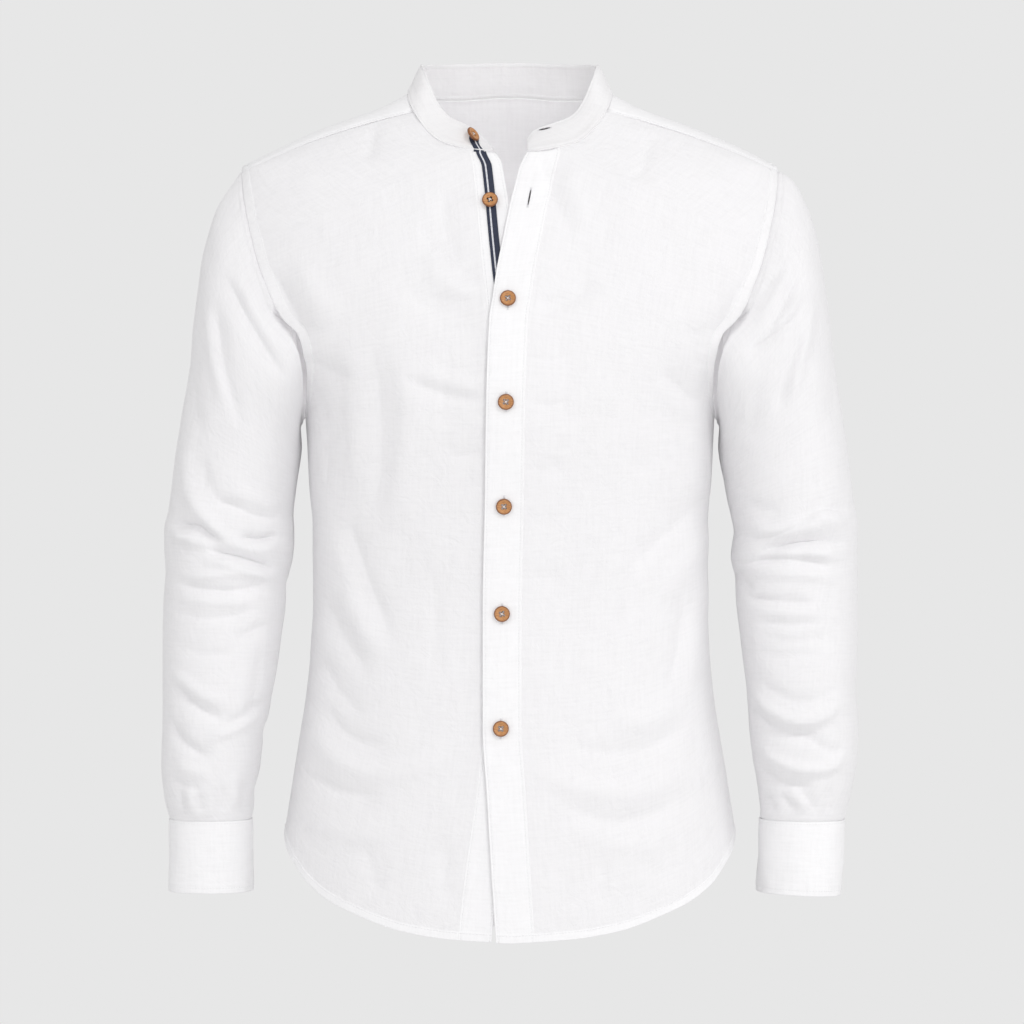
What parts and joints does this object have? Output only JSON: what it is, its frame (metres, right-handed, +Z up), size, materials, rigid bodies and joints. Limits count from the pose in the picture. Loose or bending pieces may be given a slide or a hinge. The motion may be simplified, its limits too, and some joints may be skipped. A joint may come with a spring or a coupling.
{
  "type": "mandarin collar shirt",
  "caption": "Long-sleeved shirt with a band collar, buttoned front placket, cuffs and a curved hem, worn and hollow.",
  "frame": {"origin": "centre of the neck opening, level with the points where the neck seam meets the shoulders", "axes": "+Z up, +X towards the wearer's left, -Y towards the front"},
  "size_m": [0.6056, 0.252, 0.7719],
  "materials": {
    "cotton": "matte slubbed linen and cotton plain weave, white",
    "ribbon": "woven navy ribbon with a broken white stripe",
    "button": "satin brown wood, four holes"
  },
  "bodies": {
    "root": {"front_left": "cotton", "front_right": "cotton", "back": "cotton", "yoke": "cotton", "collar": "cotton", "sleeve_left": "cotton", "sleeve_right": "cotton", "cuff_left": "cotton", "cuff_right": "cotton", "placket": "cotton", "button_band": "cotton", "sleeve_placket_left": "cotton", "sleeve_placket_right": "cotton", "ribbon": "ribbon", "collar_ribbon": "ribbon", "button_1": "button", "button_2": "button", "button_3": "button", "button_4": "button", "button_5": "button", "button_6": "button", "button_7": "button", "cuff_button_left": "button", "cuff_button_right": "button"}
  },
  "joints": []
}
